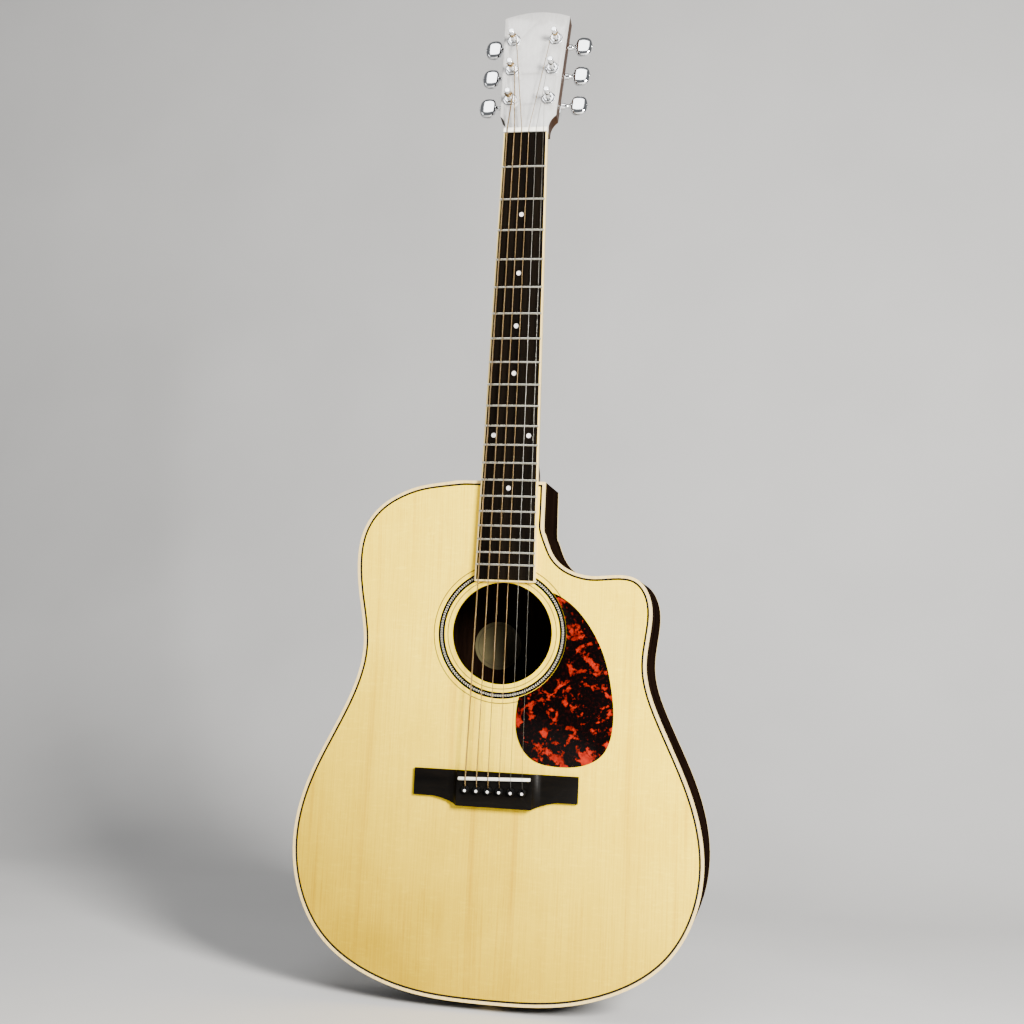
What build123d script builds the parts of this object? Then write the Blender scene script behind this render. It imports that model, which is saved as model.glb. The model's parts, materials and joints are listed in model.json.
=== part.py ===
from build123d import *
import math
import os

# Acoustic guitar with a cutaway, built upright: +X is the treble side, +Y the back, +Z runs up the neck.
# While it is drawn, y = 0 is the outer face of the soundboard and z = 0 lies just above the bridge saddle.
# The exported part is moved so that its origin is the middle of the end pin's head.

# ---------- driving dimensions, mm ----------
scale_length = 647.7
scale_end = -1.4
nut_z = scale_length + scale_end
fret_count = 20

tail_z = -219.5
shoulder_z = 286.8
corner_x = 35.7
cut_z = 254.0
depth_tail = 104.0
depth_neck = 84.0
back_radius = 4572.0
top_thick = 2.8
back_thick = 2.6
side_thick = 2.2
top_bind_wide = 2.8
purfling_wide = 2.0
bind_deep = 4.5
lining_wide = 6.0
lining_deep = 15.0

hole_x = -1.2
hole_z = 135.4
hole_r = 50.2
thin_ring_r = (54.2, 55.0)
herring_r = (58.0, 64.2)
outer_ring_r = (68.2, 69.1)
inlay_deep = 1.0
label_x = -23.5
label_z = 125.0
label_r = 25.0

nut_wide = 44.9
board_slope = 15.4 / 443.7
board_thick = 6.3
board_radius = 406.4
board_end_z = 186.0
board_bind = 1.4
fret_crown_r = 1.15
fret_tang = (0.55, 1.6)
dot_r = 2.3
dot_deep = 1.0
dot_frets = (3, 5, 7, 9, 15)
octave_dot_x = 17.8

nut_deep = 5.2
nut_tall = 8.5
head_tilt = 12.5
head_thick = 15.0
veneer = 1.5
head_low = (29.3, 16.5)
head_top = (34.7, 137.4)
head_apex = 144.2

post_s = (35.9, 72.4, 108.9)
post_x = (20.3, 21.3, 22.4)
post_r = 3.0
post_waist_r = 2.5
post_tall = 17.5
wind_n = 9.5
gear_n = -22.5
gear_r = 3.6
worm_r = 2.0
worm_rise = 5.7
shaft_r = 1.6
run_gap = 0.06
bushing_r = 5.0
washer_r = 7.0
button_span = (39.5, 57.4)
button_wide = 22.8
button_thick = 8.0

bridge_half = 81.4
bridge_top_z = 0.5
wing_z = -25.5
belly_z = -33.5
belly_half = 36.8
bridge_tall = 8.5
wing_tall = 4.0
saddle_z = -5.9
saddle_slant = 2.1
saddle_size = (71.0, 3.1)
saddle_y = -12.0
pin_line_z = -17.3
pin_r = 2.5
pin_pitch = 11.3
plate_thick = 2.5
guard_thick = 0.7

nut_string_pitch = 7.56
saddle_string_pitch = 11.2
string_r = (0.66, 0.52, 0.42, 0.31, 0.21, 0.155)
string_names = ("6_low_e", "5_a", "4_d", "3_g", "2_b", "1_high_e")
nut_string_y = -7.75

end_pin_head_r = 7.5
end_pin_head = 3.0
end_pin_neck = 5.0
pin_y = depth_tail / 2
origin = Vector(0, pin_y, tail_z - end_pin_neck - end_pin_head / 2)

os.makedirs("parts", exist_ok=True)
front = Plane(origin=(0, 0, 0), x_dir=(1, 0, 0), z_dir=(0, -1, 0))
tilt = math.radians(head_tilt)
head_y = -1.2
head_z = nut_z + nut_deep
head = Plane(origin=(0, head_y, head_z), x_dir=(1, 0, 0), z_dir=(0, -math.cos(tilt), math.sin(tilt)))


def save(node, *solids):
    """Write one node: its solids, moved so that the end pin is at the origin."""
    parts = []
    for shape in solids:
        parts += [solid.moved(Location(-origin)) for solid in shape.solids()]
    whole = parts[0] if len(parts) == 1 else Compound(children=parts)
    whole.label = node
    export_step(whole, f"parts/{node}.step")


def slab(face, y0, y1):
    """A flat outline drawn in x and z, made solid from depth y0 back to depth y1."""
    return extrude(Pos(0, y0, 0) * (front * face), amount=y0 - y1)


def block(x0, x1, y0, y1, z0, z1):
    return Pos((x0 + x1) / 2, (y0 + y1) / 2, (z0 + z1) / 2) * Box(x1 - x0, y1 - y0, z1 - z0)


def rod(x, z, radius, y0, y1):
    """A round bar along the depth of the guitar."""
    return Pos(x, (y0 + y1) / 2, z) * Rot(90, 0, 0) * Cylinder(radius, y1 - y0)


def tube(x, z, r0, r1, y0, y1):
    return rod(x, z, r1, y0, y1) - rod(x, z, r0, y0 - 1, y1 + 1)


def board_half(z):
    """Half the width of the fingerboard and neck at height z."""
    return (nut_wide + board_slope * (nut_z - z)) / 2


def fret_z(number):
    return scale_end + scale_length * 2 ** (-number / 12)


# ---------- body outline ----------
bass_points = [(0, tail_z), (-100, -209), (-170, -169), (-203.5, -80), (-190, -12), (-158, 57),
               (-142, 118), (-149.3, 167.5), (-153.2, 200), (-148, 236), (-130.5, 260.5),
               (-109.9, 273.4), (-84, 281.9), (-58, 285.8), (-32, shoulder_z)]
treble_points = [(0, tail_z), (100, -209), (170, -169), (203.5, -80), (190, -12), (158, 57),
                 (142.2, 108), (145.6, 147), (144.8, 171), (131.2, 192.5), (112, 196.5), (86, 194.7),
                 (60.0, 201.8), (44.0, 218.8), (37.6, 235), (corner_x, cut_z)]
bass_line = Spline(*bass_points, tangents=[(-1, 0), (1, 0)])
treble_line = Spline(*treble_points, tangents=[(1, 0), (0, 1)])


def inset_curve(line, inset, inward, ends, count=48):
    """The same curve moved sideways by inset, with the directions of its ends kept."""
    points = []
    for step in range(count + 1):
        t = step / count
        along = line.tangent_at(t)
        side = Vector(-along.Y, along.X) * inward
        points.append(line.position_at(t) + side * inset)
    points[0] = Vector(0, points[0].Y)
    return Spline(*points, tangents=ends)


def outline(inset):
    """The body's outline in x and z, moved inwards by inset."""
    if inset == 0:
        bass, treble = bass_line, treble_line
    else:
        bass = inset_curve(bass_line, inset, -1, [(-1, 0), (1, 0)])
        treble = inset_curve(treble_line, inset, 1, [(1, 0), (0, 1)])
    corner = (corner_x - inset, shoulder_z - inset)
    top = Line(bass @ 1, corner)
    side = Line(corner, treble @ 1)
    return make_face([bass, top, side, treble])


half_chord = math.hypot(shoulder_z - tail_z, depth_tail - depth_neck) / 2
reach = math.sqrt(back_radius ** 2 - half_chord ** 2)
chord = Vector(0, depth_neck - depth_tail, shoulder_z - tail_z).normalized()
dome_centre = Vector(0, (depth_tail + depth_neck) / 2, (tail_z + shoulder_z) / 2) \
    - Vector(0, chord.Z, -chord.Y) * reach


def dome(inset):
    """Everything in front of the domed back, moved forward by inset."""
    return Pos(*dome_centre) * Sphere(back_radius - inset)


deepest = depth_tail + 12
whole = outline(0)
in_side = outline(side_thick)
in_binding = outline(top_bind_wide)
in_purfling = outline(top_bind_wide + purfling_wide)
in_lining = outline(side_thick + lining_wide)
side_ring = slab(whole, 0, deepest) - slab(in_side, -1, deepest + 1)
room = slab(in_side, top_thick, deepest) & dome(back_thick)

# ---------- blocks inside the body ----------
block_neck = block(-38, corner_x - side_thick, top_thick, deepest, 232, shoulder_z)
neck_block = room & block_neck
block_tail = block(-46, 46, top_thick, deepest, tail_z, tail_z + 21)
tail_block = room & block_tail
tenon = block(-12, 12, 8, 72, 266, shoulder_z + 1)
neck_block = neck_block - tenon
pin_bore = Pos(0, pin_y, tail_z) * Cylinder(4.0, 60)
tail_block = tail_block - pin_bore
save("neck_block", neck_block)
save("tail_block", tail_block)

# ---------- linings ----------
lining_ring = slab(in_side, top_thick, deepest) - slab(in_lining, 0, deepest + 1)
lining_ring = lining_ring - block_neck - block_tail
save("top_lining", lining_ring & block(-250, 250, top_thick, top_thick + lining_deep, -260, 320))
save("back_lining", (lining_ring & dome(back_thick)) - dome(back_thick + lining_deep))

# ---------- sides, bindings and plates ----------
graft = block(-9, 9, bind_deep, deepest, tail_z - 2, tail_z + side_thick + 1)
shell = (side_ring & block(-250, 250, bind_deep, deepest, -260, 320) & dome(bind_deep)) - tenon
save("end_graft", (shell & graft) - pin_bore)
save("side_bass", (shell & block(-250, 0, 0, deepest, -260, 320)) - graft)
save("side_treble", (shell & block(0, 250, 0, deepest, -260, 320)) - graft)

binding = (side_ring & block(-250, 250, 0, bind_deep, -260, 320))
binding = binding + (slab(in_side, 0, top_thick) - slab(in_binding, -1, top_thick + 1))
save("top_binding", binding)
save("top_purfling", slab(in_binding, 0, top_thick) - slab(in_purfling, -1, top_thick + 1))
save("back_binding", (side_ring & dome(0)) - dome(bind_deep))

rings = (thin_ring_r, herring_r, outer_ring_r)
under_half = board_half(board_end_z)
under_board = block(-under_half, under_half, -10, inlay_deep, board_end_z, shoulder_z)
pin_xs = [(i - 2.5) * pin_pitch for i in range(6)]
soundboard = slab(in_purfling, 0, top_thick) - rod(hole_x, hole_z, hole_r, -1, top_thick + 1)
inlays = [tube(hole_x, hole_z, r0, r1, 0, inlay_deep) - under_board for r0, r1 in rings]
for inlay in inlays:
    soundboard = soundboard - inlay
for x in pin_xs:
    soundboard = soundboard - rod(x, pin_line_z, pin_r, -1, 6)
save("soundboard", soundboard)
save("rosette_herringbone", inlays[1])
save("rosette_lines", inlays[0], inlays[2])

back = slab(in_side, 20, deepest) & dome(0)
save("back_plate", back - dome(back_thick))
label_place = rod(label_x, label_z, label_r, 20, deepest)
strip = block(-9, 9, 20, deepest, tail_z + 21, 232) - label_place
strip = strip & (dome(back_thick) - dome(back_thick + 1.8))
save("back_center_strip", strip)
save("paper_label", label_place & (dome(back_thick) - dome(back_thick + 0.25)))


# ---------- braces ----------
def brace(x0, z0, x1, z1, wide, tall):
    """A straight bar on the underside of the soundboard with its ends scooped down."""
    length = math.hypot(x1 - x0, z1 - z0)
    half = length / 2
    profile = Polyline((-half, 0), (half, 0), (half, 2), (half - 32, tall), (32 - half, tall), (-half, 2),
                       close=True)
    bar = extrude(make_face(profile), amount=wide / 2, both=True)
    turn = math.degrees(math.atan2(z1 - z0, x1 - x0))
    return Pos((x0 + x1) / 2, top_thick, (z0 + z1) / 2) * Rot(0, -turn, 0) * bar


x_foot = brace(-112, 172, 128, -118, 8, 15)
x_rise = brace(112, 172, -128, -118, 8, 15)
crossing = x_foot & x_rise
lap_front = crossing & block(-50, 50, 0, top_thick + 7.5, -100, 200)
lap_back = crossing - lap_front
save("x_brace", x_foot - lap_front, x_rise - lap_back)
x_both = x_foot + x_rise
save("upper_brace", brace(-118, 214, 34, 214, 11, 13) - block_neck)
tones = [brace(-46, -78, 104, -112, 6.5, 11) - x_both, brace(-88, -108, 60, -152, 6.5, 10) - x_both]
save("tone_bars", *tones)
fingers = [brace(side * 74, 62, side * 132, 20, 6, 8) - x_both for side in (-1, 1)]
fingers += [brace(side * 84, 24, side * 150, -28, 6, 8) - x_both for side in (-1, 1)]
save("finger_braces", *fingers)
plate = block(-76, 76, top_thick, top_thick + plate_thick, -38, 6) - x_both
plate = plate.solids().sort_by(Axis.X)
plate = [piece for piece in plate if piece.volume > 500]
plate_holes = [rod(x, pin_line_z, pin_r, 0, 20) for x in pin_xs]
plate = [piece - plate_holes for piece in plate]
save("bridge_plate", *plate)
back_bars = []
for bar_z in (200, 74, -28, -125):
    bar = block(-210, 210, 60, deepest, bar_z - 4, bar_z + 4) & slab(in_lining, 20, deepest)
    bar = (bar & dome(back_thick)) - dome(back_thick + 14) - strip
    back_bars.append(bar)
save("back_braces", *back_bars)


# ---------- pickguard ----------
guard_points = [(42.6, 178.7), (65.9, 167.2), (86.6, 144.6), (100.4, 119), (109.5, 85.7), (112, 47.5),
                (102.3, 21.3), (82.4, 10.6), (58, 8.8), (35.1, 14.1), (20.4, 32.1), (17.1, 59.9), (19.4, 76)]
guard_edge = Spline(*guard_points)
towards_hole = Polyline((19.4, 76), (8, 100), (8, 160), (42.6, 178.7))
guard = slab(make_face([guard_edge, towards_hole]), -guard_thick, 0)
guard = guard - rod(hole_x, hole_z, herring_r[1] + 0.4, -2, 2)
guard = guard.solids().sort_by(SortBy.VOLUME)[-1]
save("pickguard", guard)

# ---------- bridge, saddle and pins ----------
sweep_mid = (belly_half + 11, wing_z - 3.2)
sweep_end = (belly_half + 25, wing_z)
sweep_bass = ThreePointArc((-belly_half, belly_z), (-sweep_mid[0], sweep_mid[1]), (-sweep_end[0], sweep_end[1]))
sweep_treble = ThreePointArc(sweep_end, sweep_mid, (belly_half, belly_z))
plan = make_face([
    Line((-bridge_half, bridge_top_z), (bridge_half, bridge_top_z)),
    Line((bridge_half, bridge_top_z), (bridge_half, wing_z)),
    Line((bridge_half, wing_z), sweep_treble @ 0),
    sweep_treble,
    Line((belly_half, belly_z), (-belly_half, belly_z)),
    sweep_bass,
    Line(sweep_bass @ 1, (-bridge_half, wing_z)),
    Line((-bridge_half, wing_z), (-bridge_half, bridge_top_z)),
])
scoop_x = belly_half + 11
scoop = [ThreePointArc((side * (belly_half + 0.6), bridge_tall), (side * (belly_half + 4), wing_tall + 1.4),
                       (side * scoop_x, wing_tall)) for side in (-1, 1)]
rise = make_face([
    Line((-bridge_half, 0), (bridge_half, 0)),
    Line((bridge_half, 0), (bridge_half, wing_tall - 0.6)),
    Line((bridge_half, wing_tall - 0.6), (scoop_x, wing_tall)),
    scoop[1],
    Line(scoop[1] @ 0, scoop[0] @ 0),
    scoop[0],
    Line((-scoop_x, wing_tall), (-bridge_half, wing_tall - 0.6)),
    Line((-bridge_half, wing_tall - 0.6), (-bridge_half, 0)),
])
profile_plane = Plane(origin=(0, 0, -60), x_dir=(-1, 0, 0), z_dir=(0, 0, 1))
bridge = slab(plan, -bridge_tall, 0) & extrude(profile_plane * rise, amount=80)
saddle_at = Pos(0, 0, saddle_z) * Rot(0, -saddle_slant, 0)
saddle = saddle_at * block(-saddle_size[0] / 2, saddle_size[0] / 2, saddle_y, -3.5,
                           -saddle_size[1] / 2, saddle_size[1] / 2)
bridge = bridge - saddle
for x in pin_xs:
    bridge = bridge - rod(x, pin_line_z, pin_r, -20, 5)
save("bridge", bridge)
crown = saddle.edges().filter_by(Axis.X, tolerance=5).group_by(Axis.Y)[0]
saddle = fillet(crown, 1.2)
save("saddle", saddle)

pins = []
pin_dots = []
string_z = pin_line_z + 1.7
for x in pin_xs:
    pin = rod(x, pin_line_z, pin_r, -bridge_tall, 16)
    pin = pin + rod(x, pin_line_z, 3.9, -bridge_tall - 1.2, -bridge_tall)
    cap = Pos(x, -bridge_tall - 1.2, pin_line_z) * Sphere(3.9)
    pin = pin + (cap & block(x - 5, x + 5, -bridge_tall - 3.6, -bridge_tall - 1.2, -30, 0))
    groove = block(x - 0.9, x + 0.9, -20, 20, pin_line_z + 0.8, pin_line_z + 6)
    seat = block(x - 3, x + 3, 5.4, 20, pin_line_z - 1.2, pin_line_z + 6)
    dot = rod(x, pin_line_z - 1.0, 1.3, -bridge_tall - 3.6, -bridge_tall - 2.4)
    pins.append(pin - groove - seat - dot)
    pin_dots.append(dot)
save("bridge_pins", *pins)
save("bridge_pin_dots", *pin_dots)

# ---------- end pin ----------
pin_head_z = tail_z - end_pin_neck
end_pin = Pos(0, pin_y, pin_head_z - end_pin_head / 2) * Cylinder(end_pin_head_r, end_pin_head)
end_pin = end_pin + Pos(0, pin_y, (pin_head_z + tail_z) / 2) * Cylinder(5.2, end_pin_neck)
end_pin = end_pin + Pos(0, pin_y, tail_z + 10) * Cylinder(4.0, 20)
save("end_pin", end_pin)

# ---------- fingerboard, binding, frets and dots ----------
board_top_y = -board_thick
arch_centre_y = board_top_y + board_radius


def arch(radius):
    return Pos(0, arch_centre_y, 400) * Cylinder(radius, 700)


def board_plan(inset, end_inset):
    low, high = board_end_z + end_inset, nut_z
    lower, upper = board_half(low) - inset, board_half(high) - inset
    return make_face(Polyline((-lower, low), (lower, low), (upper, high), (-upper, high), close=True))


board_whole = slab(board_plan(0, 0), -board_thick - 1, 0) & arch(board_radius)
board = board_whole & slab(board_plan(board_bind, board_bind), -board_thick - 2, 1)
board_edge = board_whole - board
slots = []
frets = []
for number in range(1, fret_count + 1):
    z = fret_z(number)
    half = board_half(z)
    width_box = block(-half + 0.3, half - 0.3, board_top_y - 3, 0, z - 3, z + 3)
    crown = Pos(0, arch_centre_y, z) * Torus(board_radius, fret_crown_r)
    crown = (crown & width_box) - arch(board_radius)
    wide, deep = fret_tang
    hoop = Cylinder(board_radius + 0.2, wide) - Cylinder(board_radius - deep, 2)
    tang_box = block(-half + board_bind, half - board_bind, board_top_y - 3, 0, z - 1, z + 1)
    tang = (Pos(0, arch_centre_y, z) * hoop) & tang_box
    frets.append(crown + tang)
    slots.append(tang)
save("frets", *frets)
dots = []
for number in dot_frets + (12,):
    middle = (fret_z(number) + fret_z(number - 1)) / 2
    for x in ((-octave_dot_x, octave_dot_x) if number == 12 else (0,)):
        dots.append(rod(x, middle, dot_r, board_top_y - 2, board_top_y + dot_deep) & arch(board_radius))
save("dot_inlays", *dots)
save("fingerboard", board - slots - dots)
save("fingerboard_binding", board_edge)

# ---------- neck with heel and headstock ----------
def shaft_section(z, deep):
    half = board_half(z)
    plane = Plane(origin=(0, 0, z), x_dir=(1, 0, 0), z_dir=(0, 0, 1))
    curve = Spline((-half, 0), (-half * 0.93, deep * 0.42), (0, deep), (half * 0.93, deep * 0.42), (half, 0))
    return plane * make_face([curve, Line((half, 0), (-half, 0))])


def heel_section(y, half, long):
    plane = Plane(origin=(0, y, shoulder_z), x_dir=(1, 0, 0), z_dir=(0, -1, 0))
    curve = Spline((-half, 0), (-half * 0.86, long * 0.5), (0, long), (half * 0.86, long * 0.5), (half, 0))
    return plane * make_face([curve, Line((half, 0), (-half, 0))])


heel_cap_y = depth_neck - 4.5
neck_end_z = head_z + 1.5
shaft = loft([shaft_section(shoulder_z, 18.5), shaft_section(neck_end_z, 14.6)], ruled=True)
heel = loft([heel_section(y, half, long) for y, half, long in
             ((6, 27.5, 62), (24, 25.5, 38), (52, 18.5, 24), (heel_cap_y, 12.5, 17))])
low_x, low_s = head_low
top_x, top_s = head_top
nut_half = nut_wide / 2
head_plan = make_face([
    Line((-nut_half, -4), (nut_half, -4)),
    Line((nut_half, -4), (nut_half, 1.5)),
    ThreePointArc((nut_half, 1.5), (nut_half + 1.6, 9.5), (low_x, low_s)),
    Line((low_x, low_s), (top_x, top_s)),
    ThreePointArc((top_x, top_s), (0, head_apex), (-top_x, top_s)),
    Line((-top_x, top_s), (-low_x, low_s)),
    ThreePointArc((-low_x, low_s), (-nut_half - 1.6, 9.5), (-nut_half, 1.5)),
    Line((-nut_half, 1.5), (-nut_half, -4)),
])
head_wood = extrude(head * Pos(0, 0, -head_thick) * head_plan, amount=head_thick - veneer)
under_nut = block(-60, 60, 0, 90, head_z - 6, head_z)
head_wood = (head_wood & under_nut) + (head_wood & block(-60, 60, -60, 90, head_z, 900))
neck = shaft + heel + head_wood
tenon_solid = tenon & block(-20, 20, 0, 90, 260, shoulder_z)
neck = neck + tenon_solid
rod_channel = block(-3.1, 3.1, 0, 10.4, 292, 628)
post_places = [(side * post_x[i], post_s[i], side) for side in (-1, 1) for i in range(3)]
for x, s, side in post_places:
    neck = neck - head * Pos(x, s, 0) * Cylinder(bushing_r, 60)
save("heel_cap", extrude(heel_section(heel_cap_y, 12.5, 17), amount=-2.0))
save("truss_rod", rod_channel & block(-3, 3, 0.1, 10.2, 293, 627))
plate_head = extrude(head * Pos(0, 0, -veneer) * head_plan, amount=veneer)
plate_head = plate_head & block(-60, 60, -60, 60, head_z, 900)
for x, s, side in post_places:
    plate_head = plate_head - head * Pos(x, s, 0) * Cylinder(bushing_r, 60)
save("headstock_veneer", plate_head)
save("neck", neck - rod_channel - plate_head)

# ---------- tuners ----------
housings = []
bushings = []
screws = []
back_n = -head_thick
floor_n = -28.6
for number, (x, s, side) in enumerate(post_places):
    at = head * Pos(x, s, 0)
    barrel = Pos(0, 0, -head_thick / 2) * Cylinder(bushing_r, head_thick)
    washer = Pos(0, 0, 0.6) * Cylinder(washer_r, 1.2)
    hexagon = Pos(0, 0, 1.2) * extrude(RegularPolygon(6.2, 6), amount=2.3)
    bushing = barrel + washer + hexagon - Cylinder(post_r + run_gap, 80)
    bushings.append(at * bushing)

    body_box = Pos(0, 2.75, (back_n + floor_n) / 2) * Box(20, 24.5, back_n - floor_n)
    body_box = fillet(body_box.edges().filter_by(Axis.Z), 4)
    body_box = fillet(body_box.faces().sort_by(Axis.Z)[0].edges(), 1.6)
    tab = Pos(0, -12.5, back_n - 1.5) * Box(8, 8, 3)
    tab = fillet(tab.edges().filter_by(Axis.Z).group_by(Axis.Y)[0], 3.5)
    boss = Pos(side * 11.5, worm_rise, gear_n) * Rot(0, 90, 0) * Cylinder(3.6, 5)
    gear_room = Pos(0, 0, gear_n) * Cylinder(gear_r + 0.5, 6)
    post_room = Pos(0, 0, (back_n + gear_n) / 2) * Cylinder(post_r + run_gap, back_n - gear_n + 1)
    worm_room = Pos(0, worm_rise, gear_n) * Rot(0, 90, 0) * Cylinder(worm_r + 0.4, 11)
    shaft_room = Pos(side * 10, worm_rise, gear_n) * Rot(0, 90, 0) * Cylinder(shaft_r + run_gap, 20)
    stub_room = Pos(-side * 6.5, worm_rise, gear_n) * Rot(0, 90, 0) * Cylinder(shaft_r + run_gap, 3.6)
    end_room = Pos(0, 0, gear_n - 3.8) * Cylinder(2.6, 3.0)
    screw_hole = Pos(0, -13, back_n - 2) * Cylinder(1.3, 8)
    housing = body_box + tab + boss - gear_room - post_room - worm_room - shaft_room - stub_room - end_room
    housings.append(at * (housing - screw_hole))
    shank = Pos(0, -13, back_n - 1.6) * Cylinder(1.3, 3.2)
    dome_head = Pos(0, -13, back_n - 3) * Sphere(2.4) & Pos(0, -13, back_n - 4) * Box(6, 6, 2)
    screws.append(at * (shank + dome_head))

    rod_n = (gear_n - 2.0, post_tall)
    low_rod = Pos(0, 0, (rod_n[0] + 4.5) / 2) * Cylinder(post_r, 4.5 - rod_n[0])
    cone = Pos(0, 0, 6) * Cone(post_r, post_waist_r, 3)
    waist = Pos(0, 0, 10) * Cylinder(post_waist_r, 5)
    cap = Pos(0, 0, 14) * Cone(post_waist_r, post_r, 3)
    top = Pos(0, 0, 16.5) * Cylinder(post_r, 2)
    post = low_rod + cone + waist + cap + top
    post = fillet(post.faces().sort_by(Axis.Z)[-1].edges(), 0.7)
    eye = Pos(0, 0, wind_n + 2) * Rot(0, 90, 0) * Cylinder(0.9, 12)
    gear = Pos(0, 0, gear_n) * (Cylinder(gear_r, 4) - Cylinder(post_r, 5))
    gear_screw = Pos(0, 0, gear_n - 2.9) * Cylinder(2.2, 1.8)
    post_node = f"tuner_post_{string_names[number] if side < 0 else string_names[5 - (number - 3)]}"
    save(post_node, at * (post - eye), at * gear, at * gear_screw)

    shaft_at = at * Pos(0, worm_rise, gear_n) * Rot(0, side * 90, 0)
    first, last = button_span
    button_x = first - side * x
    button_end = last - side * x
    worm = Cylinder(worm_r, 10) + Pos(0, 0, -6.5) * Cylinder(shaft_r, 3.2)
    worm = worm + Pos(0, 0, (button_end - 3) / 2) * Cylinder(shaft_r, button_end - 3)
    worm = worm + Pos(0, 0, button_x - 0.9) * Cylinder(3.0, 1.8)
    grip = Pos(0, 0, (button_x + button_end) / 2) * Box(button_thick, button_wide, button_end - button_x)
    grip = fillet(grip.edges().filter_by(Axis.X), 5.5)
    grip = chamfer(grip.edges().filter_by(GeomType.LINE).filter_by(Axis.Z), 1.2)
    grip = grip - Pos(0, 0, (button_end - 3) / 2) * Cylinder(shaft_r, button_end - 3)
    screw_room = Pos(0, 0, button_end - 1.5) * Cylinder(2.2, 3.0)
    grip = grip - screw_room
    grip_screw = Pos(0, 0, button_end - 1.8) * Cylinder(2.2, 2.4)
    knob_node = post_node.replace("post", "knob")
    save(knob_node, shaft_at * worm, shaft_at * grip, shaft_at * grip_screw)
save("tuner_bushings", *bushings)
save("tuner_housings", *housings)
save("tuner_screws", *screws)

# ---------- strings and nut ----------
def string_run(points, radius):
    """A string along straight stretches, with round corners at the points between."""
    run = None
    for start, end in zip(points[:-1], points[1:]):
        way = end - start
        piece = Plane(origin=start, z_dir=way) * Pos(0, 0, way.length / 2) * Cylinder(radius, way.length)
        run = piece if run is None else run + piece
    for corner in points[1:-1]:
        run = run + Pos(*corner) * Sphere(radius)
    return run


nut = block(-nut_half, nut_half, -nut_tall, 0, nut_z, head_z)
nut = fillet(nut.edges().filter_by(Axis.X).group_by(Axis.Y)[0].sort_by(Axis.Z)[-1:], 2.0)
for i, name in enumerate(string_names):
    radius = string_r[i]
    side = -1 if i < 3 else 1
    place = i if i < 3 else 5 - i
    pin_x = pin_xs[i]
    saddle_x = (i - 2.5) * saddle_string_pitch
    nut_x = (i - 2.5) * nut_string_pitch
    crest_z = saddle_z + saddle_x * math.tan(math.radians(saddle_slant))
    over_saddle = Vector(saddle_x, saddle_y - radius - 0.03, crest_z)
    ring = post_waist_r + 2 * radius + 0.4
    post_point = head.from_local_coords(Vector(side * (post_x[place] - ring), post_s[place] - 1.0, wind_n))
    nut_front = Vector(nut_x, nut_string_y, nut_z + 0.3)
    nut_rear = Vector(nut_x, nut_string_y + 0.25, head_z - 1.2)
    points = [Vector(pin_x, 6.6, string_z), Vector(pin_x, -bridge_tall - radius - 0.5, string_z),
              over_saddle, nut_front, nut_rear, post_point]
    string = string_run(points, radius)
    ball = rod(pin_x, string_z, 2.0, 5.4, 8.6)
    save(f"string_{name}", string + ball)
    floor_y = nut_string_y + radius + 0.05
    slot_side = Polyline((nut_z - 1, -20), (nut_z - 1, floor_y), (head_z - 1.2, floor_y + 0.25),
                         (head_z + 1, floor_y + 1.0), (head_z + 1, -20), close=True)
    slot_plane = Plane(origin=(nut_x, 0, 0), x_dir=(0, 0, 1), z_dir=(-1, 0, 0))
    nut = nut - extrude(slot_plane * make_face(slot_side), amount=radius + 0.25, both=True)
save("nut", nut)
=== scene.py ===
import json
import math

import bmesh
import bpy
from mathutils import Matrix, Vector


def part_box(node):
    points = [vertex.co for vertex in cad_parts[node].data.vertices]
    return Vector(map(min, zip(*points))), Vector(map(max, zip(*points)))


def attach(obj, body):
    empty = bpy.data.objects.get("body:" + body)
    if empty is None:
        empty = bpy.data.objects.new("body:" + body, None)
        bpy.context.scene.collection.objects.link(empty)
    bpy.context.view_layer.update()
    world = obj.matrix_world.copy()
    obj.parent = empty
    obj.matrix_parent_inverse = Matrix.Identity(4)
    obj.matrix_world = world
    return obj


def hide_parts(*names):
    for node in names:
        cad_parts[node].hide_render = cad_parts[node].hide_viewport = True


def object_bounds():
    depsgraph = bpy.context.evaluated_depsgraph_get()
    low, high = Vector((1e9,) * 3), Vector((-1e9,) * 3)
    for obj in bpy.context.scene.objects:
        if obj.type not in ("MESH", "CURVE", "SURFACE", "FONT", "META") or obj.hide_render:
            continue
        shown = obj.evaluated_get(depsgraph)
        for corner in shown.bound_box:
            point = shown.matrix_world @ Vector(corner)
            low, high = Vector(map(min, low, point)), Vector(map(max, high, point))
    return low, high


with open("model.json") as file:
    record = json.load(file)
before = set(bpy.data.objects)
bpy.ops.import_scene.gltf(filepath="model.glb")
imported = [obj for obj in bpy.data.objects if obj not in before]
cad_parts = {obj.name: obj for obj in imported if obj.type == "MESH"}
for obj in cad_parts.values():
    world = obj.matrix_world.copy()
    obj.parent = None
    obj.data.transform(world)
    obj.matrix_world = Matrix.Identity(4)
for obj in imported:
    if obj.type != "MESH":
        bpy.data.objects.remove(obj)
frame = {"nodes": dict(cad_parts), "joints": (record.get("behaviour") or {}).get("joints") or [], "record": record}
cad_low, cad_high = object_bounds()

MM = 0.001

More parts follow.
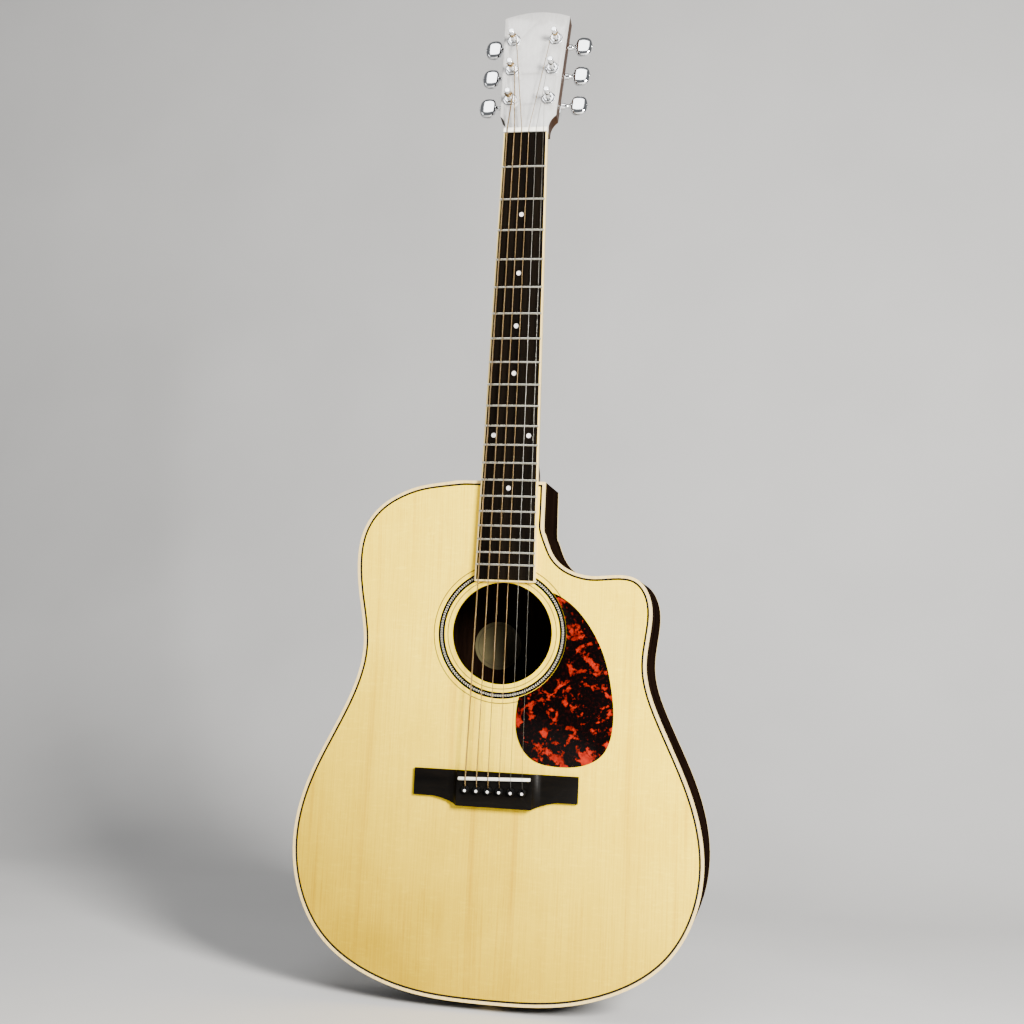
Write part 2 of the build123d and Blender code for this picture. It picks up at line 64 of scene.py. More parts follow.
# ---------- places read from the frame ----------
board_low, board_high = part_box("fingerboard_binding")
top_low, top_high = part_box("soundboard")
ring_low, ring_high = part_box("rosette_lines")
FACE_Y = top_low.y
HOLE_X = (ring_low.x + ring_high.x) / 2
HOLE_Z = ring_low.z + (ring_high.x - ring_low.x) / 2
STRING_NAMES = ("6_low_e", "5_a", "4_d", "3_g", "2_b", "1_high_e")
STRING_RADII = [r * MM for r in (0.66, 0.52, 0.42, 0.31, 0.21, 0.155)]
HERRING_R = (58.0 * MM, 64.2 * MM)
TILT = math.radians(12.5)
HEAD_UP = Vector((0, math.sin(TILT), math.cos(TILT)))
POST_AXIS = Vector((0, -math.cos(TILT), math.sin(TILT)))
GEAR_N = -22.5 * MM
WAIST_R = 2.5 * MM
WIND_N = (9.5 * MM, 11.5 * MM)
BUTTON_SPAN = (39.5 * MM, 57.4 * MM)
joints = {joint["name"]: joint for joint in frame["joints"]}


# ---------- node helpers ----------
class Look:
    """A material under construction, with short ways to add and join its nodes."""

    def __init__(self, name):
        self.material = bpy.data.materials.new(name)
        self.material.use_nodes = True
        self.tree = self.material.node_tree
        self.shader = self.tree.nodes["Principled BSDF"]
        self.place = self.add("TexCoord").outputs["Object"]
        split = self.add("SeparateXYZ", {"Vector": self.place})
        self.x, self.y, self.z = split.outputs

    def add(self, kind, inputs=None, **settings):
        node = self.tree.nodes.new("ShaderNode" + kind)
        for key, value in settings.items():
            setattr(node, key, value)
        for key, value in (inputs or {}).items():
            self.plug(node.inputs[key], value)
        return node

    def plug(self, socket, value):
        if isinstance(value, bpy.types.NodeSocket):
            self.tree.links.new(value, socket)
        else:
            socket.default_value = value

    def math(self, operation, a, b=0.0):
        return self.add("Math", {0: a, 1: b}, operation=operation).outputs[0]

    def vector(self, x, y, z):
        return self.add("CombineXYZ", {"X": x, "Y": y, "Z": z}).outputs[0]

    def stretched(self, x, y, z):
        """Object coordinates scaled by a different amount along each axis."""
        return self.add("Mapping", {"Vector": self.place, "Scale": (x, y, z)}).outputs[0]

    def noise(self, vector, scale, detail=2.0, rough=0.5, warp=0.0):
        inputs = {"Vector": vector, "Scale": scale, "Detail": detail, "Roughness": rough, "Distortion": warp}
        return self.add("TexNoise", inputs).outputs[0]

    def ramp(self, value, stops):
        """A colour ramp through (position, grey or colour) stops."""
        node = self.add("ValToRGB", {"Fac": value})
        band = node.color_ramp
        while len(band.elements) < len(stops):
            band.elements.new(0.5)
        for element, (position, colour) in zip(band.elements, stops):
            element.position = position
            if not isinstance(colour, tuple):
                colour = (colour, colour, colour)
            element.color = (*colour, 1.0)
        return node.outputs[0]

    def mix(self, amount, a, b, blend="MIX"):
        node = self.add("Mix", {0: amount}, data_type="RGBA", blend_type=blend)
        self.plug(node.inputs[6], a if isinstance(a, bpy.types.NodeSocket) else (*a, 1.0))
        self.plug(node.inputs[7], b if isinstance(b, bpy.types.NodeSocket) else (*b, 1.0))
        return node.outputs[2]

    def bump(self, height, strength, distance):
        inputs = {"Height": height, "Strength": strength, "Distance": distance}
        return self.add("Bump", inputs).outputs[0]

    def finish(self, **values):
        for key, value in values.items():
            name = key.replace("_", " ").title().replace("Ior", "IOR")
            if name == "Base Color" and not isinstance(value, bpy.types.NodeSocket):
                value = (*value, 1.0)
            self.plug(self.shader.inputs[name], value)
        return self.material


# ---------- materials ----------
def spruce():
    """Bookmatched spruce: upright growth lines mirrored about the seam, with painted shade that deepens the colour
    low on the bass side.
    """
    look = Look("spruce")
    drift = look.noise(look.stretched(2.0, 2.0, 2.6), 1.0, 2.0)
    across = look.math("ADD", look.math("ABSOLUTE", look.x), look.math("MULTIPLY", drift, 0.012))
    strip = look.vector(across, 0.0, look.math("MULTIPLY", look.z, 0.012))
    lines = look.noise(strip, 640.0, 2.0, 0.6)
    bands = look.noise(look.vector(across, 0.0, look.math("MULTIPLY", look.z, 0.03)), 62.0, 3.0, 0.6)
    tone = look.noise(look.stretched(1.0, 1.0, 0.8), 9.0, 3.0, 0.55)
    silk = look.noise(look.stretched(90.0, 90.0, 420.0), 1.0, 3.0, 0.6, 0.6)
    fleck = look.noise(look.stretched(700.0, 700.0, 60.0), 1.0, 2.0, 0.5)
    # painted shade: the spruce blends from the lit tones to deeper, more orange tones towards the bottom and the
    # bass side, standing in for light falling off there
    painted_falloff = look.math("MULTIPLY_ADD", look.math("SUBTRACT", look.math("MULTIPLY", look.z, -1.5), look.x), 0.9)
    painted_falloff.node.inputs[2].default_value = 0.55
    lit_tones = ((0.88, 0.605, 0.0), (0.97, 0.69, 0.01), (0.90, 0.625, 0.0))
    shaded_tones = ((0.40, 0.255, 0.0), (0.50, 0.325, 0.0), (0.43, 0.275, 0.0))
    places = (0.30, 0.52, 0.75)
    lit_spruce = look.ramp(tone, list(zip(places, lit_tones)))
    shaded_spruce = look.ramp(tone, list(zip(places, shaded_tones)))
    base = look.mix(look.ramp(painted_falloff, [(0.15, 0.0), (0.58, 1.0)]), lit_spruce, shaded_spruce)
    base = look.mix(look.ramp(lines, [(0.44, 0.0), (0.68, 0.45)]), base, (0.74, 0.64, 0.4), "MULTIPLY")
    base = look.mix(look.ramp(bands, [(0.56, 0.0), (0.72, 0.75)]), base, (0.80, 0.72, 0.4), "MULTIPLY")
    base = look.mix(look.ramp(silk, [(0.52, 0.0), (0.72, 0.8)]), base, (1.12, 1.16, 1.6), "MULTIPLY")
    base = look.mix(look.ramp(fleck, [(0.60, 0.0), (0.75, 0.3)]), base, (0.70, 0.58, 0.4), "MULTIPLY")
    seam = look.math("LESS_THAN", look.math("ABSOLUTE", look.x), 0.00012)
    base = look.mix(look.math("MULTIPLY", seam, 0.4), base, (0.45, 0.27, 0.06))
    rough = look.ramp(silk, [(0.3, 0.34), (0.7, 0.42)])
    grain = look.bump(lines, 0.10, 0.0002)
    return look.finish(base_color=base, roughness=rough, normal=grain, specular_ior_level=0.0)


def dark_wood(name, deep, light, streak_scale=60.0, along="z", coat=0.5, rough=0.3, pores=0.35, shine=0.3,
              back_light_gain=1.0):
    """A dark hardwood with streaks along one axis and fine pores.

    The last argument paints light onto the faces that look backwards, making them lighter than the rest so the
    back shows its grain.
    """
    look = Look(name)
    stretch = {"z": (1.0, 1.0, 0.035), "x": (0.035, 1.0, 1.0)}[along]
    wave = look.noise(look.place, 7.0, 2.0)
    sway = look.vector(look.math("MULTIPLY", wave, 0.02), look.math("MULTIPLY", wave, 0.02), 0.0)
    moved = look.add("VectorMath", {0: look.stretched(*stretch), 1: sway}, operation="ADD").outputs[0]
    streaks = look.noise(moved, streak_scale, 4.0, 0.62)
    fine = look.noise(moved, streak_scale * 9.0, 3.0, 0.6)
    pore_stretch = {"z": (2600.0, 2600.0, 130.0), "x": (130.0, 2600.0, 2600.0)}[along]
    pore = look.noise(look.stretched(*pore_stretch), 1.0, 1.0)
    middle = tuple((a + b) / 2 for a, b in zip(deep, light))
    base = look.ramp(streaks, [(0.32, deep), (0.50, middle), (0.68, light)])
    base = look.mix(look.ramp(fine, [(0.45, 0.0), (0.7, 0.55)]), base, tuple(c * 0.45 for c in deep))
    base = look.mix(look.ramp(pore, [(0.60, 0.0), (0.68, pores)]), base, tuple(c * 0.2 for c in deep))
    # painted light: faces that look backwards are multiplied brighter, so the back reads lighter than the sides
    if back_light_gain != 1.0:
        facing = look.add("SeparateXYZ", {"Vector": look.add("NewGeometry").outputs["Normal"]}).outputs[1]
        painted_back_light = (back_light_gain, back_light_gain, back_light_gain)
        base = look.mix(look.math("GREATER_THAN", facing, 0.3), base, look.mix(1.0, base, painted_back_light, "MULTIPLY"))
    relief = look.bump(pore, 0.12 * (1.0 - coat), 0.0001)
    gloss = look.ramp(fine, [(0.3, rough), (0.7, rough + 0.10)])
    return look.finish(base_color=base, roughness=gloss, normal=relief, coat_weight=coat, coat_roughness=0.06,
                       specular_ior_level=shine)


def pale_wood(name, base_colour, line_colour, lines=420.0, coat=0.5, rough=0.32):
    """Light close-grained wood, such as maple binding or bare brace stock."""
    look = Look(name)
    fine = look.noise(look.stretched(1.0, 1.0, 0.06), lines, 3.0, 0.6)
    tone = look.noise(look.place, 24.0, 2.0)
    base = look.mix(look.ramp(fine, [(0.42, 0.0), (0.7, 0.55)]), base_colour, line_colour)
    base = look.mix(look.ramp(tone, [(0.35, 0.0), (0.7, 0.35)]), base, tuple(c * 0.82 for c in base_colour))
    relief = look.bump(fine, 0.05, 0.0001)
    return look.finish(base_color=base, roughness=look.ramp(tone, [(0.3, rough), (0.7, rough + 0.08)]),
                       normal=relief, coat_weight=coat, coat_roughness=0.08)


def tortoise():
    """Black celluloid with ragged red-orange clouds, polished."""
    look = Look("tortoise")
    flat = look.stretched(1.0, 0.0, 1.0)
    flow = look.noise(flat, 34.0, 2.0)
    drift = look.vector(look.math("MULTIPLY", flow, 0.026), 0.0, look.math("MULTIPLY", flow, -0.034))
    bent = look.add("VectorMath", {0: flat, 1: drift}, operation="ADD").outputs[0]
    cloud = look.noise(bent, 82.0, 2.0, 0.5, 0.35)
    ragged = look.noise(flat, 300.0, 3.0, 0.62)
    body = look.math("ADD", look.math("MULTIPLY", cloud, 0.66), look.math("MULTIPLY", ragged, 0.34))
    patches = look.noise(flat, 130.0, 2.0)
    glow = look.ramp(patches, [(0.35, (0.11, 0.003, 0.0005)), (0.62, (0.30, 0.011, 0.002))])
    mask = look.ramp(body, [(0.530, 0.0), (0.552, 0.45), (0.580, 1.0)])
    base = look.mix(mask, (0.0012, 0.0006, 0.0006), glow)
    ember = look.ramp(ragged, [(0.52, 0.0), (0.7, 0.22)])
    base = look.mix(ember, base, (0.045, 0.0015, 0.0006))
    return look.finish(base_color=base, roughness=0.2, coat_weight=0.04, coat_roughness=0.04,
                       specular_ior_level=0.04)


def plastic(name, colour, rough=0.25, mottled=0.06, shine=0.35):
    """A hard moulded or bone-like stuff with slight mottling and faint scuffs."""
    look = Look(name)
    tone = look.noise(look.place, 160.0, 3.0)
    low = tuple(max(0.0, c * (1.0 - mottled * 3)) for c in colour)
    base = look.ramp(tone, [(0.3, low), (0.7, colour)])
    scuff = look.noise(look.stretched(1.0, 1.0, 0.4), 900.0, 2.0)
    return look.finish(base_color=base, roughness=look.ramp(scuff, [(0.4, rough), (0.75, rough + 0.12)]),
                       normal=look.bump(scuff, 0.04, 0.00005), coat_weight=0.3 * shine, coat_roughness=0.08,
                       specular_ior_level=shine)


def pearl():
    """Mother of pearl: pale, with drifting pink, green and blue sheen."""
    look = Look("pearl")
    drift = look.noise(look.stretched(1.0, 1.0, 0.5), 420.0, 3.0, 0.6, 1.2)
    sheen = [(0.25, (0.62, 0.70, 0.66)), (0.45, (0.86, 0.85, 0.82)), (0.6, (0.80, 0.72, 0.74)),
             (0.78, (0.70, 0.78, 0.84))]
    base = look.ramp(drift, sheen)
    return look.finish(base_color=base, roughness=0.22, coat_weight=0.6, coat_roughness=0.04)


def metal(name, colour, rough, scratch=0.05, spread=0.08, stretch=(1.0, 1.0, 1.0)):
    """Polished or drawn metal with faint scratches and a slightly uneven shine."""
    look = Look(name)
    marks = look.noise(look.stretched(*stretch), 1400.0, 3.0, 0.6)
    haze = look.noise(look.place, 90.0, 2.0)
    from_marks = look.math("MULTIPLY", marks, spread * 0.5)
    from_haze = look.math("MULTIPLY", haze, spread * 0.5)
    level = look.math("ADD", from_marks, from_haze)
    base = look.ramp(haze, [(0.3, tuple(c * 0.9 for c in colour)), (0.7, colour)])
    return look.finish(base_color=base, metallic=1.0, roughness=look.math("ADD", level, rough),
                       normal=look.bump(marks, scratch, 0.00002))


def wound_string(name, radius):
    """Bronze wire wound tightly on a core: fine turns along the string, with painted shade between the turns and a
    painted highlight on their tops.
    """
    look = Look(name)
    turns = look.math("MULTIPLY", look.z, 2 * math.pi / (radius * 0.62))
    wave = look.math("MULTIPLY_ADD", look.math("SINE", turns), 0.5)
    wave.node.inputs[2].default_value = 0.5
    tarnish = look.noise(look.stretched(1.0, 1.0, 0.3), 300.0, 2.0)
    # painted shade and highlight: the colour follows the turns, dark in the hollows between them and bright on
    # their tops
    shaded_groove, flank, lit_crest = (0.10, 0.055, 0.018), (0.26, 0.17, 0.07), (0.40, 0.29, 0.15)
    base = look.ramp(wave, [(0.0, shaded_groove), (0.5, flank), (1.0, lit_crest)])
    base = look.mix(look.ramp(tarnish, [(0.4, 0.0), (0.7, 0.4)]), base, (0.16, 0.10, 0.04))
    turns_relief = look.bump(wave, 0.7, radius * 0.25)
    return look.finish(base_color=base, metallic=1.0, roughness=0.32, normal=turns_relief)


def head_face():
    """Pale grey lacquered veneer with a faint upright grain."""
    look = Look("head_face")
    fine = look.noise(look.stretched(1.0, 1.0, 0.04), 420.0, 3.0, 0.6)
    tone = look.noise(look.place, 30.0, 2.0)
    base = look.ramp(fine, [(0.35, (0.40, 0.395, 0.385)), (0.7, (0.46, 0.457, 0.45))])
    base = look.mix(look.ramp(tone, [(0.4, 0.0), (0.7, 0.25)]), base, (0.38, 0.375, 0.365))
    return look.finish(base_color=base, roughness=0.25, coat_weight=0.6, coat_roughness=0.05)


def paper():
    """Aged label paper with a thin printed ring near its edge, soft stains, and a painted shadow over its right
    side.
    """
    look = Look("paper")
    low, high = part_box("paper_label")
    middle = (low + high) / 2
    dx = look.math("SUBTRACT", look.x, middle.x)
    dz = look.math("SUBTRACT", look.z, middle.z)
    reach = look.math("SQRT", look.math("ADD", look.math("MULTIPLY", dx, dx), look.math("MULTIPLY", dz, dz)))
    ring = look.math("COMPARE", reach, 21.5 * MM)
    ring.node.inputs[2].default_value = 0.35 * MM
    stain = look.noise(look.place, 55.0, 4.0, 0.6)
    fibre = look.noise(look.place, 1500.0, 2.0)
    base = look.ramp(stain, [(0.3, (0.050, 0.040, 0.012)), (0.7, (0.085, 0.072, 0.026))])
    # painted shadow: the paper darkens towards its right side, the half that lies in shade inside the body
    shade = look.math("MULTIPLY_ADD", dx, 1 / (50 * MM))
    shade.node.inputs[2].default_value = 0.5
    base = look.mix(look.ramp(shade, [(0.25, 0.0), (0.75, 0.85)]), base, (0.004, 0.003, 0.0015))
    base = look.mix(look.math("MULTIPLY", ring, 0.7), base, (0.025, 0.016, 0.006))
    return look.finish(base_color=base, roughness=0.85, normal=look.bump(fibre, 0.2, 0.0001))


MATERIALS = {
    "spruce": spruce(),
    # rosewood: very dark on the sides, with painted light brightening the back 4.5 times
    "rosewood": dark_wood("rosewood", (0.0022, 0.0012, 0.0008), (0.0100, 0.0050, 0.0031),
                          coat=0.0, rough=0.36, shine=0.0, back_light_gain=4.5),
    "mahogany": dark_wood("mahogany", (0.012, 0.005, 0.002), (0.034, 0.0145, 0.006), 90.0,
                          coat=0.0, rough=0.36, shine=0.05),
    "ebony": dark_wood("ebony", (0.0015, 0.0010, 0.0006), (0.0052, 0.0034, 0.0018), 75.0,
                       coat=0.0, rough=0.42, shine=0.03),
    "ebony_bridge": dark_wood("ebony_bridge", (0.0010, 0.0008, 0.0006), (0.0038, 0.0028, 0.0020), 75.0, "x",
                              coat=0.0, rough=0.38, shine=0.06),
    "maple_binding": pale_wood("maple_binding", (0.80, 0.60, 0.22), (0.56, 0.37, 0.09), coat=0.05),
    "raw_spruce": pale_wood("raw_spruce", (0.62, 0.47, 0.27), (0.42, 0.28, 0.13), coat=0.0, rough=0.7),
    "raw_mahogany": dark_wood("raw_mahogany", (0.17, 0.085, 0.045), (0.27, 0.15, 0.085), 120.0,
                              coat=0.0, rough=0.65),
    "black_plastic": plastic("black_plastic", (0.0025, 0.0025, 0.0025), shine=0.15),
    "herring_white": pale_wood("herring_white", (0.72, 0.66, 0.50), (0.55, 0.48, 0.32), coat=0.0),
    "herring_black": plastic("herring_black", (0.0012, 0.001, 0.001), 0.3, shine=0.06),
    "rosette_line": plastic("rosette_line", (0.11, 0.080, 0.022), 0.3, shine=0.1),
    "tortoise": tortoise(),
    "bone": plastic("bone", (0.86, 0.83, 0.74), 0.3, 0.03),
    "pearl": pearl(),
    "nickel_silver": metal("nickel_silver", (0.62, 0.60, 0.50), 0.2, stretch=(0.1, 1.0, 1.0)),
    "chrome": metal("chrome", (0.86, 0.87, 0.88), 0.03, 0.01, 0.05),
    "steel": metal("steel", (0.50, 0.50, 0.51), 0.35, 0.1, 0.15),
    "plain_string": metal("plain_string", (0.17, 0.165, 0.15), 0.25, stretch=(1.0, 1.0, 0.05)),
    "head_face": head_face(),
    "paper": paper(),
}
for name, radius in zip(STRING_NAMES[:4], STRING_RADII):
    MATERIALS[f"string_{name}"] = wound_string(f"string_{name}", radius)

OTHER_LOOKS = {"bridge": "ebony_bridge", "rosette_lines": "rosette_line"}
for sub in frame["record"]["subparts"]:
    node, slot_name = sub["node"], sub["material_slot"]
    key = node if node in MATERIALS else OTHER_LOOKS.get(node, slot_name)
    if slot_name == "rosette_black_white":
        key = "herring_black"
    mesh = frame["nodes"][node].data
    mesh.materials.clear()
    mesh.materials.append(MATERIALS[key])


# ---------- mesh helpers ----------
MERGE_GAP = 2e-6
FLAT_ANGLE = 0.6
BEVEL_ANGLE = 28.0


def add_piece(name, mesh, body, slot_name, *looks):
    piece = bpy.data.objects.new(name, mesh)
    bpy.context.scene.collection.objects.link(piece)
    for look in looks:
        mesh.materials.append(MATERIALS[look])
    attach(piece, body)
    return piece


def from_bmesh(name, shape):
    mesh = bpy.data.meshes.new(name)
    shape.to_mesh(mesh)
    shape.free()
    return mesh


def softened(node, width, body="guitar"):
    """A copy of a CAD node with merged vertices and small rounded edges, standing for it."""
    source = frame["nodes"][node]
    shape = bmesh.new()
    shape.from_mesh(source.data)
    bmesh.ops.remove_doubles(shape, verts=shape.verts, dist=MERGE_GAP)
    bmesh.ops.dissolve_limit(shape, angle_limit=math.radians(FLAT_ANGLE), verts=shape.verts, edges=shape.edges)
    for face in shape.faces:
        face.smooth = True
    mesh = from_bmesh(node + "_soft", shape)
    mesh.materials.append(source.data.materials[0])
    piece = bpy.data.objects.new(mesh.name, mesh)
    bpy.context.scene.collection.objects.link(piece)
    bevel = piece.modifiers.new("edges", "BEVEL")
    bevel.width = width
    bevel.segments = 2
    bevel.limit_method = "ANGLE"
    bevel.angle_limit = math.radians(BEVEL_ANGLE)
    bevel.harden_normals = True
    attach(piece, body)
    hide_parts(node)
    return piece


for node, width in (("bridge", 0.45), ("saddle", 0.3), ("nut", 0.3), ("pickguard", 0.35), ("end_pin", 0.6),
                    ("bridge_pins", 0.12), ("headstock_veneer", 0.3), ("tuner_bushings", 0.25),
                    ("tuner_housings", 0.3), ("heel_cap", 0.3)):
    softened(node, width * MM)
for name in STRING_NAMES:
    softened(f"tuner_post_{name}", 0.12 * MM, f"post_{name}")


# ---------- rosette ----------
def herringbone(pitch=2.5 * MM, rise=0.03 * MM):
    """Two rows of slanted white tiles let into the black ring, leaning opposite ways."""
    inner, outer = HERRING_R
    edge = 2.05 * MM
    middle = (inner + outer) / 2
    count = round(2 * math.pi * middle / pitch)
    shape = bmesh.new()
    half = (board_high.x - board_low.x) / 2
    for row, (r0, r1) in enumerate(((inner + edge, middle), (middle, outer - edge))):
        lean = (0.5 if row == 0 else -0.5) * 2 * math.pi / count
        for i in range(count):
            turn = 2 * math.pi * i / count
            width = 0.28 * 2 * math.pi / count
            corners = [(r0, turn), (r0, turn + width), (r1, turn + width + lean), (r1, turn + lean)]
            if row == 1:
                corners = [(r, a + 0.5 * 2 * math.pi / count) for r, a in corners]
            spots = [(HOLE_X + r * math.sin(a), HOLE_Z + r * math.cos(a)) for r, a in corners]
            if max(z for x, z in spots) > board_low.z and min(abs(x) for x, z in spots) < half * 0.93:
                continue
            faces = []
            for y in (FACE_Y - rise, FACE_Y + 0.2 * MM):
                faces.append([shape.verts.new((x, y, z)) for x, z in spots])
            shape.faces.new(faces[0])
            shape.faces.new(faces[1][::-1])
            for a in range(4):
                b = (a + 1) % 4
                shape.faces.new((faces[0][b], faces[0][a], faces[1][a], faces[1][b]))
    bmesh.ops.recalc_face_normals(shape, faces=shape.faces)
    add_piece("herringbone_tiles", from_bmesh("herringbone_tiles", shape), "guitar", "rosette_black_white",
              "herring_white")


herringbone()


# ---------- tuner buttons ----------
def lathe(shape, origin, axis, profile, sides=36):
    """Turn a profile of (distance along axis, radius) points about the axis."""
    side = axis.orthogonal().normalized()
    other = axis.cross(side)
    rings = []
    for along, radius in profile:
        middle = origin + axis * along
        if radius == 0:
            rings.append([shape.verts.new(middle)])
        else:
            rings.append([shape.verts.new(middle + (side * math.cos(a) + other * math.sin(a)) * radius)
                          for a in (2 * math.pi * i / sides for i in range(sides))])
    for low, high in zip(rings, rings[1:]):
        for i in range(sides):
            j = (i + 1) % sides
            loop = [low[i % len(low)], low[j % len(low)], high[j % len(high)], high[i % len(high)]]
            face = shape.faces.new(list(dict.fromkeys(loop)))
            face.smooth = True


def button(shape, centre, out, up, front, sides=56):
    """A rounded eight-sided grip, thickest in the middle, with crowned faces and a soft rim."""
    half_out, half_up, half_front, power = 8.9 * MM, 11.3 * MM, 4.0 * MM, 2.7
    steps = (0.0, 0.3, 0.55, 0.72, 0.80, 0.87, 0.92, 0.96, 0.985, 1.0)
    rims = {}
    for face_side in (1, -1):
        rings = []
        for step in steps:
            if step == 0:
                rings.append([shape.verts.new(centre + front * half_front * face_side)])
                continue
            if step == 1 and 1.0 in rims:
                rings.append(rims[1.0])
                continue
            ring = []
            for i in range(sides):
                a = 2 * math.pi * i / sides
                c, s = math.cos(a), math.sin(a)
                reach = (abs(c / half_out) ** power + abs(s / half_up) ** power) ** (-1 / power)
                taper = 1.0 - 0.07 * c
                crown = (1 - 0.16 * step ** 2) * math.sqrt(1 - step ** 9)
                lift = half_front * crown * (1.04 - 0.10 * c * step)
                ring.append(shape.verts.new(centre + (out * c + up * s * taper) * reach * step
                                            + front * lift * face_side))
            rings.append(ring)
        rims[1.0] = rings[-1]
        for low, high in zip(rings, rings[1:]):
            for i in range(sides):
                j = (i + 1) % sides
                loop = [low[i % len(low)], low[j % len(low)], high[j % len(high)], high[i % len(high)]]
                face = shape.faces.new(list(dict.fromkeys(loop)))
                face.smooth = True


def tuner_knob(name):
    joint = joints[f"knob_turn_{name}"]
    centre, out = Vector(joint["pos_m"]), Vector(joint["axis"])
    first, last = (edge - abs(centre.x) for edge in BUTTON_SPAN)
    shape = bmesh.new()
    stem = [(-8.0, 0), (-8.0, 1.5), (-5.0, 1.5), (-5.0, 1.95), (5.0, 1.95), (5.0, 1.6)]
    neck = [(-5.0, 1.6), (-4.6, 2.3), (-3.2, 2.4), (-2.8, 1.9), (-1.4, 2.0), (-0.6, 2.9), (0.6, 3.5),
            (2.2, 3.4), (2.2, 0)]
    profile = [(u * MM, r * MM) for u, r in stem] + [(first + u * MM, r * MM) for u, r in neck]
    lathe(shape, centre, out, profile)
    button(shape, centre + out * (first + last) / 2, out, HEAD_UP, POST_AXIS)
    screw = [(-2.0, 0), (-2.0, 2.3), (0.0, 2.3), (0.25, 2.1), (0.35, 1.4), (0.35, 0.5),
             (-0.1, 0.4), (-0.1, 0)]
    lathe(shape, centre, out, [(last + u * MM, r * MM) for u, r in screw], 28)
    bmesh.ops.recalc_face_normals(shape, faces=shape.faces)
    mesh = from_bmesh(f"knob_{name}_grip", shape)
    knob = add_piece(f"knob_{name}_grip", mesh, f"knob_{name}", "chrome", "chrome")
    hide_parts(f"tuner_knob_{name}")


# ---------- string windings ----------
def tube(shape, points, radius, sides=10):
    """A round wire through a row of points, closed at both ends."""
    rings = []
    normal = (points[1] - points[0]).orthogonal().normalized()
    for i, point in enumerate(points):
        way = (points[min(i + 1, len(points) - 1)] - points[max(i - 1, 0)]).normalized()
        normal = (normal - way * normal.dot(way)).normalized()
        other = way.cross(normal)
        rings.append([shape.verts.new(point + (normal * math.cos(a) + other * math.sin(a)) * radius)
                      for a in (2 * math.pi * k / sides for k in range(sides))])
    for low, high in zip(rings, rings[1:]):
        for k in range(sides):
            j = (k + 1) % sides
            shape.faces.new((low[k], low[j], high[j], high[k])).smooth = True
    shape.faces.new(rings[0][::-1])
    shape.faces.new(rings[-1])


def winding(name, radius, slot_name):
    """The string's turns round its post, up to the hole it is fed through, and its cut end."""
    joint = joints[f"post_turn_{name}"]
    foot = Vector(joint["pos_m"]) - POST_AXIS * GEAR_N
    side = 1 if foot.x > 0 else -1
    low, high = WIND_N
    turns = min(5.0, (high - low) / (2.04 * radius)) + 0.5
    steps = round(turns * 30)
    points = []
    for step in range(steps + 1):
        share = step / steps
        angle = -math.pi * 2 * turns * share * side + (math.pi if side > 0 else 0)
        wide = WAIST_R + radius * (1.0 + 0.8 * max(0.0, 1 - step / 8))
        level = low + (high - low) * share
        points.append(foot + POST_AXIS * level + Vector((1, 0, 0)) * math.cos(angle) * wide
                      + HEAD_UP * math.sin(angle) * wide)
    shape = bmesh.new()
    tube(shape, points, radius)
    hole = foot + POST_AXIS * high
    tube(shape, [hole + Vector((side * t * MM, 0, 0)) for t in (-3.2, -1.0, 1.5, 3.6, 4.3)], radius * 0.96)
    bmesh.ops.recalc_face_normals(shape, faces=shape.faces)
    look = f"string_{name}" if f"string_{name}" in MATERIALS else "plain_string"
    add_piece(f"winding_{name}", from_bmesh(f"winding_{name}", shape), f"post_{name}", slot_name, look)


for name, radius in zip(STRING_NAMES, STRING_RADII):
    tuner_knob(name)
    winding(name, radius, "bronze_string" if radius > 0.3 * MM else "plain_string")

# ---------- camera ----------
def aim_camera(place, azimuth, pitch, roll, lens):
    """A camera looking along +Y at azimuth 0, turned, tipped up and rolled by angles in degrees."""
    a, p, r = map(math.radians, (azimuth, pitch, roll))
    look = Vector((-math.sin(a) * math.cos(p), math.cos(a) * math.cos(p), math.sin(p)))
    level = look.cross(Vector((0, 0, 1))).normalized()
    upright = level.cross(look)
    up = upright * math.cos(r) + level * math.sin(r)
    right = look.cross(up)
    data = bpy.data.cameras.new("camera")
    data.lens = lens
    data.sensor_width = 36.0
    camera = bpy.data.objects.new("camera", data)
    bpy.context.scene.collection.objects.link(camera)
    camera.matrix_world = Matrix((
        (right.x, up.x, -look.x, place.x), (right.y, up.y, -look.y, place.y),
        (right.z, up.z, -look.z, place.z), (0, 0, 0, 1)))
    bpy.context.scene.camera = camera


CAMERA_FROM_HOLE = Vector((0.2860, -1.3888, -0.0418))
CAMERA_ANGLES = (11.504, 6.535, -2.692)
CAMERA_LENS = 50.42
aim_camera(Vector((0, FACE_Y, HOLE_Z)) + CAMERA_FROM_HOLE, *CAMERA_ANGLES, CAMERA_LENS)


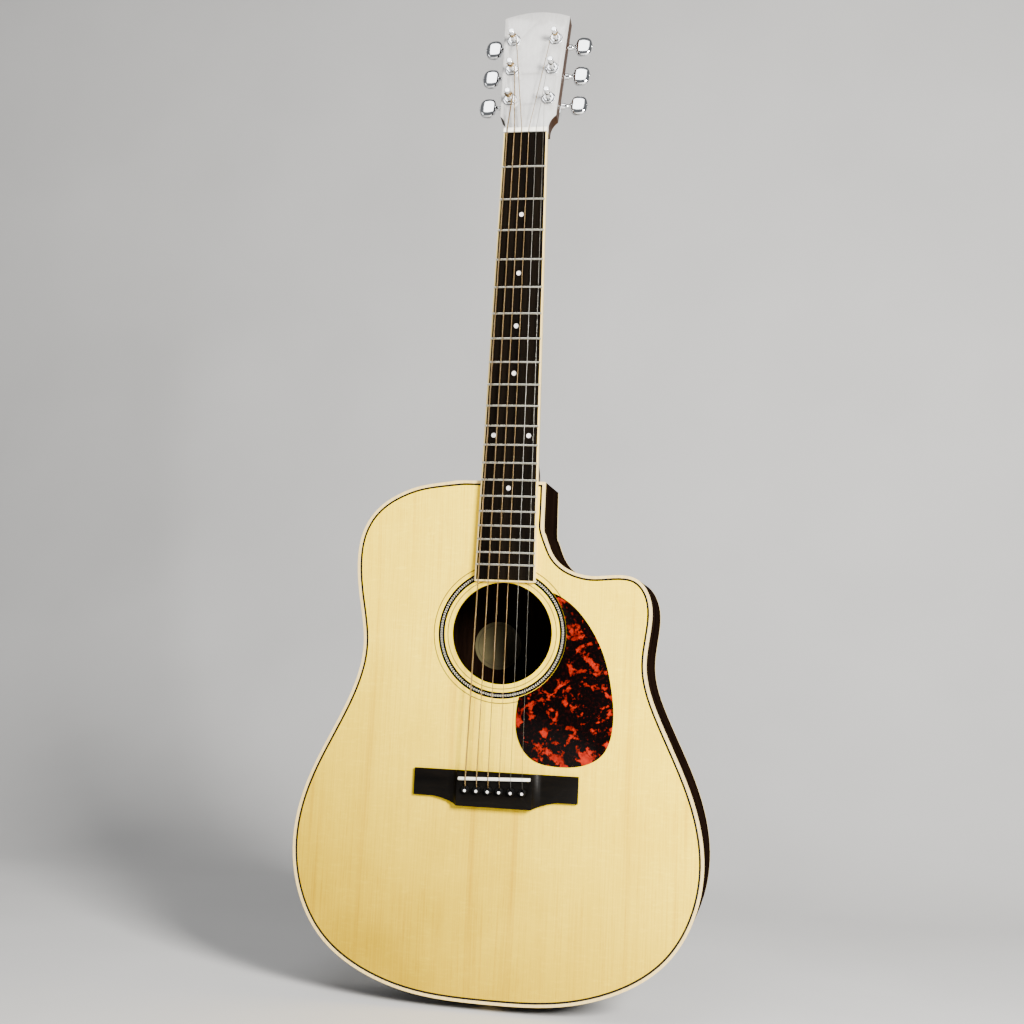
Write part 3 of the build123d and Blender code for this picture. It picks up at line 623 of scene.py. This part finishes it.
# ---------- floor, backdrop and lights ----------
def backdrop():
    """A pale floor that curves up into a wall behind."""
    look = Look("backdrop")
    tone = look.noise(look.place, 3.0, 3.0)
    speck = look.noise(look.place, 260.0, 2.0)
    base = look.ramp(tone, [(0.3, (0.50, 0.50, 0.50)), (0.7, (0.54, 0.54, 0.54))])
    material = look.finish(base_color=base, roughness=0.85, normal=look.bump(speck, 0.05, 0.0003))
    floor_z = cad_low.z - 0.0005
    near, far, bend, top, half = -4.0, 1.6, 0.9, 4.0, 5.0
    profile = [(near, floor_z)]
    for step in range(17):
        turn = math.radians(90 * step / 16)
        profile.append((far - bend + bend * math.sin(turn), floor_z + bend - bend * math.cos(turn)))
    profile.append((far, floor_z + top))
    shape = bmesh.new()
    rows = [[shape.verts.new((x, y, z)) for y, z in profile] for x in (-half, half)]
    for i in range(len(profile) - 1):
        face = shape.faces.new((rows[0][i], rows[1][i], rows[1][i + 1], rows[0][i + 1]))
        face.smooth = True
    mesh = from_bmesh("backdrop", shape)
    mesh.materials.append(material)
    sweep = bpy.data.objects.new("backdrop", mesh)
    bpy.context.scene.collection.objects.link(sweep)


def soft_light(name, place, target, size, power, colour=(1.0, 1.0, 1.0)):
    data = bpy.data.lights.new(name, "AREA")
    data.shape = "RECTANGLE"
    data.size, data.size_y = size
    data.energy = power
    data.color = colour
    light = bpy.data.objects.new(name, data)
    bpy.context.scene.collection.objects.link(light)
    light.location = place
    light.rotation_euler = (Vector(target) - Vector(place)).to_track_quat("-Z", "Y").to_euler()


backdrop()
soft_light("key", (1.35, -1.60, 1.05), (0, 0, 0.36), (0.5, 0.7), 210.0, (1.0, 0.97, 0.92))
soft_light("fill", (-2.0, -1.6, 1.2), (0, 0, 0.5), (1.0, 1.4), 10.0)
soft_light("overhead", (-0.2, -1.15, 2.2), (0, 0, 0.8), (1.1, 0.8), 16.0)
world = bpy.data.worlds.new("studio")
world.use_nodes = True
world.node_tree.nodes["Background"].inputs[0].default_value = (0.80, 0.82, 0.85, 1.0)
world.node_tree.nodes["Background"].inputs[1].default_value = 0.22
bpy.context.scene.world = world

# ---------- the end ----------
bpy.context.view_layer.update()
